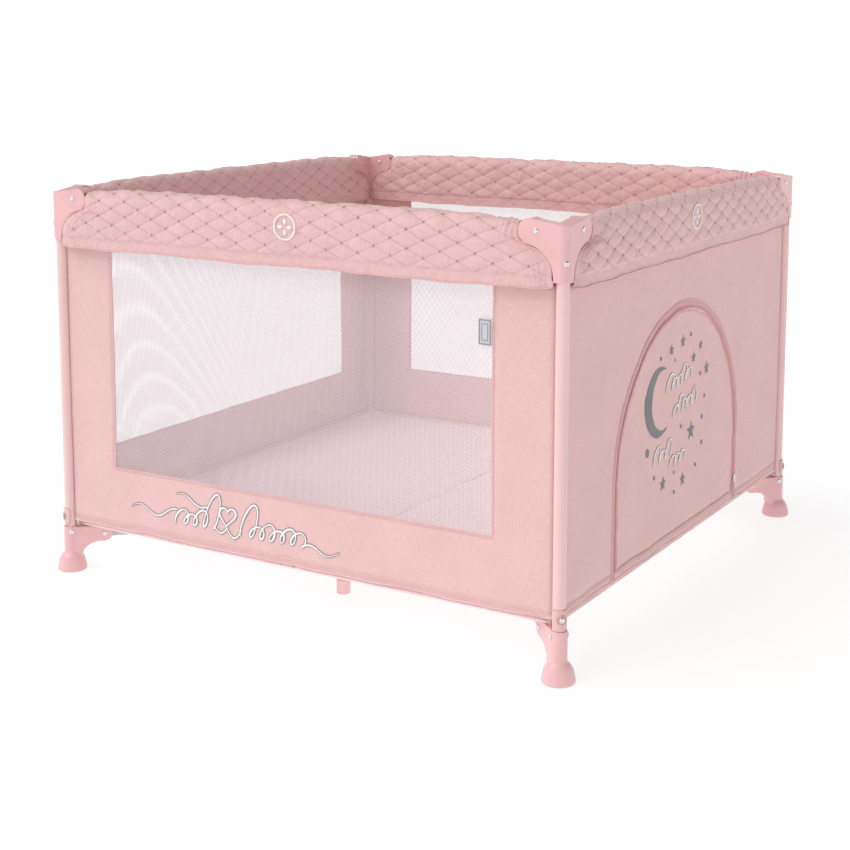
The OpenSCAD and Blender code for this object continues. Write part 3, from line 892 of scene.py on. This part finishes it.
def star(centre, radius, inner=0.42):
    """A five-pointed star, one point up."""
    reach = [(radius * (1 if k % 2 == 0 else inner), math.pi / 2 + k * math.pi / 5) for k in range(10)]
    return [(centre[0] + r * math.cos(a), centre[1] + r * math.sin(a)) for r, a in reach]


def disc(centre, radius, n=20):
    return [(centre[0] + radius * math.cos(a), centre[1] + radius * math.sin(a))
            for a in np.linspace(0, 2 * math.pi, n, endpoint=False)]


def crescent(print_, centre, outer_r, depth):
    """A crescent open to the right: a stroke along the arc, thick in the middle."""
    angles = np.linspace(math.radians(62), math.radians(305), 60)
    line = []
    for a in angles:
        r = outer_r - depth * 0.5 * math.sin((a - angles[0]) / (angles[-1] - angles[0]) * math.pi)
        line.append((centre[0] + r * math.cos(a), centre[1] + r * math.sin(a)))
    print_.stroke(line, [0.4 * MM + depth * math.sin(math.pi * k / 24) for k in range(25)])


def outlined(print_, line, widths, edge=1.1 * MM):
    """A white brush stroke with a silver edge; the widths are in millimetres."""
    widths = [w * MM for w in widths]
    print_.stroke(line, [w + 2 * edge for w in widths], 0)
    lifted = print_.off
    print_.off += 0.25 * MM
    print_.stroke(line, widths, 1)
    print_.off = lifted


def scrawl(start, length, rise, tall, wide):
    """Slanting loops along a rising line, in millimetres; tall gives the height of each loop."""
    loops = len(tall)
    line = []
    for t in np.linspace(0, 1, loops * 26 + 1):
        turn = 2 * math.pi * loops * t
        height = tall[min(int(t * loops), loops - 1)] * MM
        lift = height * (1 - math.cos(turn)) / 2
        s = start[0] * MM + length * MM * t - wide * MM * math.sin(turn) + 0.35 * lift
        line.append((s, start[1] * MM + rise * MM * t + lift))
    return line


def door_print():
    """Night-sky print: a crescent, stars, dots and rows of loops like drifting cloud. No lettering."""
    p = Print(WALL_SEED["right"])
    crescent(p, (-136 * MM, 382 * MM), 64 * MM, 29 * MM)
    stars = [(-28, 476, 13), (59, 455, 10), (-88, 470, 11), (93, 405, 14), (24, 437, 12), (17, 298, 20),
             (-112, 226, 15), (-18, 212, 14)]
    for s, z, r in stars:
        p.fill(star((s * MM, z * MM), r * MM))
    dots = [(-132, 461, 4), (-70, 448, 3), (6, 484, 4), (60, 400, 4), (86, 352, 4), (72, 314, 5), (72, 264, 5),
            (-30, 316, 4), (-187, 300, 8), (44, 226, 4), (-60, 198, 4), (-152, 246, 4), (-62, 236, 3)]
    for s, z, r in dots:
        p.fill(disc((s * MM, z * MM), r * MM))
    rows = [(-106, 394, 118, 10, [30, 18, 17, 30, 18]), (-74, 344, 112, 8, [17, 30, 17, 18, 28]),
            (-158, 270, 76, 4, [30, 17, 30]), (-82, 250, 66, 2, [18, 17, 18])]
    for s, z, length, rise, tall in rows:
        outlined(p, scrawl((s, z), length, rise, tall, 7.5), [2.6, 4.4] * 6, 0.8 * MM)
    obj = p.shape.build("print_door", [GREY_PRINT, WHITE_PRINT], side_turn("right"))
    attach(obj, "door_flap")
    squash_side(obj)


def band_print():
    """A looping ribbon with an open heart on the lower front band. No lettering."""
    p = Print(WALL_SEED["front"])

    def drawn(count, widths, point):
        outlined(p, [tuple(v * MM for v in point(t)) for t in np.linspace(0, 1, count)], widths)

    def heart(t):
        a = 2 * math.pi * t + math.pi
        x = 16 * math.sin(a) ** 3
        z = 13 * math.cos(a) - 5 * math.cos(2 * a) - 2 * math.cos(3 * a) - math.cos(4 * a)
        return -141 + 1.15 * x + 0.2 * z, 168 + 1.25 * z

    tail, loop, thin = [1.0, 3.2, 3.6], [2.6, 4.6] * 8, [2.4, 4.0, 2.4]
    drawn(40, tail, lambda t: (-372 + 112 * t, 150 + 9 * math.sin(2.6 * math.pi * t) + 4 * t))
    drawn(30, tail, lambda t: (-262 + 74 * t, 192 + 6 * math.sin(2 * math.pi * t) - 14 * t))
    outlined(p, scrawl((-262, 138), 88, 2, [27, 20, 31, 66], 9), loop)
    drawn(20, thin, lambda t: (-172 + 31 * t, 146 - 13 * math.sin(math.pi * t) * (1 - 0.2 * t)))
    drawn(20, thin, lambda t: (-144 + 34 * t, 146 - 17 * math.sin(math.pi * t)))
    drawn(90, [2.6, 4.6, 2.6, 4.6, 2.6], heart)
    outlined(p, scrawl((-112, 136), 138, 4, [62, 22, 30, 21, 28, 24], 9.5), loop)
    drawn(30, tail[::-1], lambda t: (24 + 82 * t, 138 + 7 * math.sin(2.2 * math.pi * t)))
    obj = p.shape.build("print_band", [GREY_PRINT, WHITE_PRINT], side_turn("front"))
    on_wall(obj, "front")


def badge(side):
    """A plain round badge on the cover, by the latch: a ring with four small petals."""
    shape = Shape()
    y = -HALF - COVER_HALF_W - 3.2 * MM
    centre_s = BADGE_S[side]
    section = [(23.4, 0.0), (23.2, -1.0), (21.6, -1.4), (20.2, -1.0), (20.0, 0.0)]
    rings = np.array([[(centre_s + r * MM * math.cos(a), y + d * MM, BADGE_Z + r * MM * math.sin(a))
                       for r, d in section] for a in np.linspace(0, 2 * math.pi, 72, endpoint=False)])
    rings = np.concatenate([rings, rings[:1]])
    shape.grid(rings, np.stack([rings[..., 0], rings[..., 2]], axis=-1), wrap=True)
    petal = [(4, 0), (7, 2.6), (11, 3.2), (15.5, 0), (11, -3.2), (7, -2.6)]
    n = len(petal)
    faces = [[i, (i + 1) % n, n] for i in range(n)]
    faces += [[n + 1 + (i + 1) % n, n + 1 + i, 2 * n + 1] for i in range(n)]
    faces += [[(i + 1) % n, i, n + 1 + i, n + 1 + (i + 1) % n] for i in range(n)]
    for quarter in range(4):
        turn = quarter * math.pi / 2
        outline = [(centre_s + (a * math.cos(turn) - b * math.sin(turn)) * MM,
                    BADGE_Z + (a * math.sin(turn) + b * math.cos(turn)) * MM) for a, b in petal]
        centre = tuple(np.mean(outline, axis=0))
        points = []
        for rim, peak in ((-0.7, -1.3), (0.6, 0.6)):
            points += [(s, y + rim * MM, z) for s, z in outline] + [(centre[0], y + peak * MM, centre[1])]
        shape.add(points, faces)
    obj = shape.build(f"badge_{side}", [WHITE_PRINT], side_turn(side))
    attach(obj, f"latch_{side}")


def care_label():
    """A small blank cloth tag on the net, by its upper right corner."""
    lines_s, lines_z = steps(381 * MM, 405.5 * MM, 3 * MM), steps(539 * MM, 582 * MM, 4 * MM)

    def bowed(s, off):
        return -HALF - off - 1.6 * MM * math.sin((s - lines_s[0]) / (10 * MM))

    shape = Shape()
    uvs = np.array([[(s, z) for z in lines_z] for s in lines_s])
    shape.grid(np.array([[(s, bowed(s, 2.8 * MM), z) for z in lines_z] for s in lines_s]), uvs)
    label = shape.build("care_label", [LABEL])
    thicken(label, 0.5 * MM)
    marks = Shape()
    rim = [(383, 541), (403.5, 541), (403.5, 580), (383, 580)]
    inner = [(388, 547), (399, 547), (399, 574), (388, 574)]
    for loop, radius in ((rim, 1.0), (inner, 0.7)):
        for (s0, z0), (s1, z1) in zip(loop, loop[1:] + loop[:1]):
            line = [(s0 + (s1 - s0) * t, z0 + (z1 - z0) * t) for t in np.linspace(0, 1, 7)]
            tube(marks, [(s * MM, bowed(s * MM, 3.2 * MM), z * MM) for s, z in line], radius * MM, sides=5)
    lines = marks.build("care_label_lines", [LABEL_PRINT])
    for obj in (label, lines):
        on_wall(obj, "front")


# ---- floor pad
def floor_pad(corner):
    """One soft quarter of the floor: crowned, with rounded edges and a seam inside its outer rim."""
    inner, outer = 0.3 * MM, HALF - 5 * MM
    cut = 17 * MM
    lines = lattice(inner, outer, 13 * MM, inner + 4 * MM, outer - 6 * MM)
    thickness = PAD_HIGH - PAD_LOW

    def height(x, y):
        outer_rim = min(outer - x, outer - y)
        inner_rim = min(x, y) - inner
        rim = min(outer_rim, inner_rim * 2)
        round_edge = math.sqrt(max(0.0, 1 - (1 - min(rim / (7 * MM), 1)) ** 2))
        seam = math.exp(-(((outer_rim - 16 * MM) / (2.5 * MM)) ** 2))
        crown = 1.6 * MM * rumple(x, y, 120 * MM, 20) + 1.0 * MM * rumple(x, y, 45 * MM, 25)
        return thickness / 2 * round_edge + (crown - 1.4 * MM * seam) * smooth_step(rim, 0, 30 * MM)

    shape = Shape()
    for face in (1, -1):
        rows = []
        for x in lines:
            row = []
            for y in lines:
                near = math.hypot(HALF - x, HALF - y)
                scale = cut / near if near < cut else 1.0
                h = height(x, y) if face > 0 else min(height(x, y), thickness / 2)
                z = (PAD_LOW + PAD_HIGH) / 2 + face * h
                row.append(((HALF - x) * scale, (HALF - y) * scale, z))
            rows.append(row)
        rows = np.array(rows)
        uvs = rows[..., :2].copy()
        shape.grid(rows if face > 0 else rows[::-1], uvs if face > 0 else uvs[::-1])
    obj = shape.build(f"pad_{corner}", [PAD_CLOTH], corner_turn(corner))
    stands_for(obj, f"floor_tube_{corner}", f"floor_pad_{corner}")
    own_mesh(obj)


# ---- mouldings, rivets and clips
def moulded(node, body, name):
    """A CAD moulding with its edges rounded as a real one's are."""
    obj = bpy.data.objects.new(name, NODES[node].data.copy())
    bpy.context.scene.collection.objects.link(obj)
    obj.data.materials.clear()
    obj.data.materials.append(PLASTIC)
    remesh = obj.modifiers.new("remesh", "REMESH")
    remesh.mode = "VOXEL"
    remesh.voxel_size = 1.1 * MM
    remesh.use_smooth_shade = True
    soften = obj.modifiers.new("soften", "SMOOTH")
    soften.factor = 0.5
    soften.iterations = 7
    obj.modifiers.new("thin", "DECIMATE").ratio = 0.35
    baked(obj)
    obj.data.polygons.foreach_set("use_smooth", np.full(len(obj.data.polygons), True))
    stands_for(obj, body, node)


def rivet_head(shape, position, direction, radius=4.8 * MM, number=0):
    """A domed head with a rolled edge and a small dimple."""
    dome = [(radius, -0.2 * MM), (radius, 0.5 * MM)]
    dome += [(radius * math.cos(a), 0.5 * MM + 1.9 * MM * math.sin(a)) for a in np.linspace(0.15, 1.15, 6)]
    dome += [(1.6 * MM, 2.3 * MM), (1.2 * MM, 1.9 * MM), (0.05 * MM, 1.8 * MM)]
    lathe(shape, dome, facing(position, direction), number=number)


def corner_rivets(corner):
    """All rivet heads of a corner, and their shanks between the cheeks."""
    shape = Shape()
    x, y, up = Vector((1, 0, 0)), Vector((0, 1, 0)), Vector((0, 0, 1))
    diagonal, across = Vector((1, 1, 0)).normalized(), Vector((1, -1, 0)).normalized()
    hinges = [(x * RAIL_PIVOT + up * RAIL_Z, y, RAIL_CHEEK), (y * RAIL_PIVOT + up * RAIL_Z, x, RAIL_CHEEK),
              (diagonal * FOOT_PIVOT + up * FLOOR_Z, across, FOOT_CHEEK)]
    heads = [(centre + axis * sign * cheek, axis * sign) for centre, axis, cheek in hinges for sign in (-1, 1)]
    for sign, at in ((-1, 5), (1, 7)):
        heads.insert(at, (across * sign * 14.3 * MM + up * 78 * MM, across * sign))
    for place, direction in heads:
        rivet_head(shape, place, direction)
    rivet_head(shape, -diagonal * 13.9 * MM + up * 682 * MM, -diagonal)
    rivet_head(shape, -diagonal * 14.4 * MM + up * CLIP_Z, -diagonal)
    for centre, axis, cheek in hinges:
        tube(shape, [centre + axis * t * cheek for t in np.linspace(-1, 1, 5)], 2.4 * MM, sides=12)
    obj = shape.build(f"rivet_set_{corner}", [BARE], corner_turn(corner))
    stands_for(obj, f"post_{corner}", f"rivets_{corner}")


def corner_clip(corner):
    """The soft tab that holds the cloth to the post, with its washer."""
    shape = Shape()
    low, high, reach = 88 * MM, 124 * MM, math.radians(82)
    rows, uvs = [], []
    for a in np.linspace(-reach, reach, 25):
        edge = (abs(a) / reach) ** 3
        row, uv = [], []
        for t in np.linspace(0, 1, 12):
            z = low + edge * 10 * MM + (high - low - edge * 10 * MM) * t
            r = POST_R + 1.1 * MM + 0.5 * MM * math.sin(math.pi * t)
            turn = math.radians(225) + a
            row.append((r * math.cos(turn), r * math.sin(turn), z))
            uv.append((r * a, z))
        rows.append(row)
        uvs.append(uv)
    shape.grid(np.array(rows), np.array(uvs))
    washer = [(8, -2.2), (8, -0.4), (7.6, 0.6), (6.6, 1.2), (3, 1.2)]
    outwards = Vector((-1, -1, 0)).normalized()
    place = facing(outwards * 13.2 * MM + Vector((0, 0, CLIP_Z)), outwards)
    lathe(shape, [(r * MM, h * MM) for r, h in washer], place, sides=28, number=1)
    obj = shape.build(f"clip_{corner}", [CLOTH, PLASTIC_DARK], corner_turn(corner))
    thicken(obj, 0.8 * MM)
    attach(obj, f"post_{corner}")


def corner_wrap(corner):
    """The cloth that runs round the inside of a post and joins two walls."""
    shape = Shape()
    r = 17 * MM
    lines = steps(PAD_LOW + 1 * MM, WALL_HIGH, 14 * MM)
    rows, uvs = [], []
    for t in np.linspace(0, 1, 15):
        a = math.pi / 2 * t
        x, y = r * (math.cos(a) ** 0.7), r * (math.sin(a) ** 0.7)
        rows.append([(x + 0.6 * MM * rumple(z, t, 40 * MM, 3), y + 0.6 * MM * rumple(z, t, 40 * MM, 8), z)
                     for z in lines])
        uvs.append([(t * 27 * MM, z) for z in lines])
    shape.grid(np.array(rows), np.array(uvs))
    obj = shape.build(f"corner_wrap_{corner}", [CLOTH], corner_turn(corner))
    thicken(obj, 1.4 * MM)
    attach(obj, f"post_{corner}")


def zip_slider():
    """Zipper slider: a rounded body, a bridge and a hanging pull."""
    low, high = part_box("zip_slider")
    centre_y = (low.y + high.y) / 2
    top, face = high.z, low.x
    shape = Shape()

    def bent(value, power):
        return math.copysign(abs(value) ** power, value)

    rows, uvs = [], []
    for half_w, dz in ((4.6, -7), (4.9, -4), (4.2, 1), (4.9, 5), (3.6, 7)):
        angles = np.linspace(0, 2 * math.pi, 24, endpoint=False)
        rows.append([(face + 1.9 * MM + 1.9 * MM * bent(math.sin(a), 0.5),
                      centre_y + half_w * MM * bent(math.cos(a), 0.7), top - 7 * MM + dz * MM) for a in angles])
        uvs.append([(a * MM, dz * MM) for a in angles])
    rows, uvs = np.array(rows), np.array(uvs)
    shape.grid(rows, uvs, wrap=True)
    shape.cap(rows[0], uvs[0], flip=True)
    shape.cap(rows[-1], uvs[-1])
    bridge = [(face + 3.6 * MM + 1.6 * MM * math.sin(a), centre_y, top - 7 * MM + 4 * MM * math.cos(a))
              for a in np.linspace(0, math.pi, 12)]
    tube(shape, bridge, 0.7 * MM, sides=8)
    pull = [(face + 4.6 * MM, centre_y + 2.2 * MM * math.sin(a) * (1 + 0.4 * math.cos(a)),
             top - 18 * MM - 9 * MM * math.cos(a)) for a in np.linspace(0, 2 * math.pi, 36, endpoint=False)]
    tube(shape, pull, 0.8 * MM, sides=8, closed=True)
    obj = shape.build("zipper_slider", [BARE])
    stands_for(obj, "zip_slider", "zip_slider")
    squash_side(obj)


# ---- build everything
def build_all():
    for corner in CORNERS:
        dress_cad(f"post_{corner}", POST_STEEL)
        dress_cad(f"floor_tube_{corner}", GREY_STEEL)
        moulded(f"bracket_{corner}", f"post_{corner}", f"corner_bracket_{corner}")
        moulded(f"foot_{corner}", f"post_{corner}", f"corner_foot_{corner}")
        corner_rivets(corner)
        corner_clip(corner)
        corner_wrap(corner)
        floor_pad(corner)
    for side in SIDES:
        for end in "ab":
            dress_cad(f"rail_{side}_{end}", GREY_STEEL)
            cover_half(side, end)
        dress_cad(f"latch_{side}", PLASTIC)
        dress_cad(f"button_{side}", PLASTIC_DARK)
        badge(side)
        if side != "right":
            net_wall(side)
    door_wall()
    door()
    door_print()
    band_print()
    care_label()
    zip_slider()
    dress_cad("hub", PLASTIC)
    dress_cad("hub_rivets", BARE)
    for name in ("front", "rear"):
        dress_cad(f"support_leg_{name}", POST_STEEL)


# ---- studio
def camera():
    """The viewpoint, in units of the post spacing, with the yaw and pitch in degrees."""
    span = 2 * HALF
    place = Vector((1.5016, -2.5377, 0.9615)) * span
    yaw, pitch = math.radians(31.297), math.radians(-8)
    forward = Vector((-math.sin(yaw) * math.cos(pitch), math.cos(yaw) * math.cos(pitch), math.sin(pitch)))
    data = bpy.data.cameras.new("camera")
    data.lens = 1.8355 * data.sensor_width
    data.shift_y = -0.1908
    obj = bpy.data.objects.new("camera", data)
    obj.location = place
    obj.rotation_mode = "QUATERNION"
    obj.rotation_quaternion = forward.to_track_quat("-Z", "Y")
    bpy.context.scene.collection.objects.link(obj)
    bpy.context.scene.camera = obj


def backdrop():
    """A round white sweep: flat floor near the object, rising into a wall all round."""
    shape = Shape()
    profile = [(0.0, 0.0), (3.0, 0.0), (9.0, 0.0)]
    profile += [(9 + 4 * math.sin(a), 4 - 4 * math.cos(a)) for a in np.linspace(0, math.pi / 2, 14)[1:]]
    profile += [(13.0, 4.5)]
    lathe(shape, profile, Matrix.Identity(4), sides=64)
    material, tree, shader = new_material("sweep_white", 0.6)
    shader.inputs["Base Color"].default_value = (0.3, 0.3, 0.3, 1)
    shader.inputs["Specular IOR Level"].default_value = 0.15
    parts = tree.nodes.new("ShaderNodeSeparateXYZ")
    tree.links.new(tree.nodes.new("ShaderNodeNewGeometry").outputs["Position"], parts.inputs["Vector"])
    glow = tree.nodes.new("ShaderNodeMapRange")
    glow.inputs["From Max"].default_value = 1.0
    glow.inputs["To Min"].default_value = SWEEP_GLOW
    glow.inputs["To Max"].default_value = SWEEP_GLOW + GLOW_RISE
    tree.links.new(parts.outputs["Z"], glow.inputs["Value"])
    shader.inputs["Emission Color"].default_value = (1, 1, 1, 1)
    tree.links.new(glow.outputs["Result"], shader.inputs["Emission Strength"])
    shape.build("backdrop", [material])


def studio():
    """A white studio: even sky light, one large soft key from the front left, and the sweep."""
    bpy.context.scene.view_settings.view_transform = "Standard"
    world = bpy.data.worlds.new("studio")
    bpy.context.scene.world = world
    world.use_nodes = True
    world.node_tree.nodes["Background"].inputs["Color"].default_value = (1, 1, 1, 1)
    world.node_tree.nodes["Background"].inputs["Strength"].default_value = SKY
    data = bpy.data.lights.new("key", "SUN")
    data.energy = KEY
    data.angle = KEY_WIDTH
    data.color = (1, 0.985, 0.97)
    key = bpy.data.objects.new("key", data)
    key.rotation_mode = "QUATERNION"
    key.rotation_quaternion = KEY_FROM.to_track_quat("Z", "Y")
    bpy.context.scene.collection.objects.link(key)
    backdrop()


camera()
build_all()
studio()
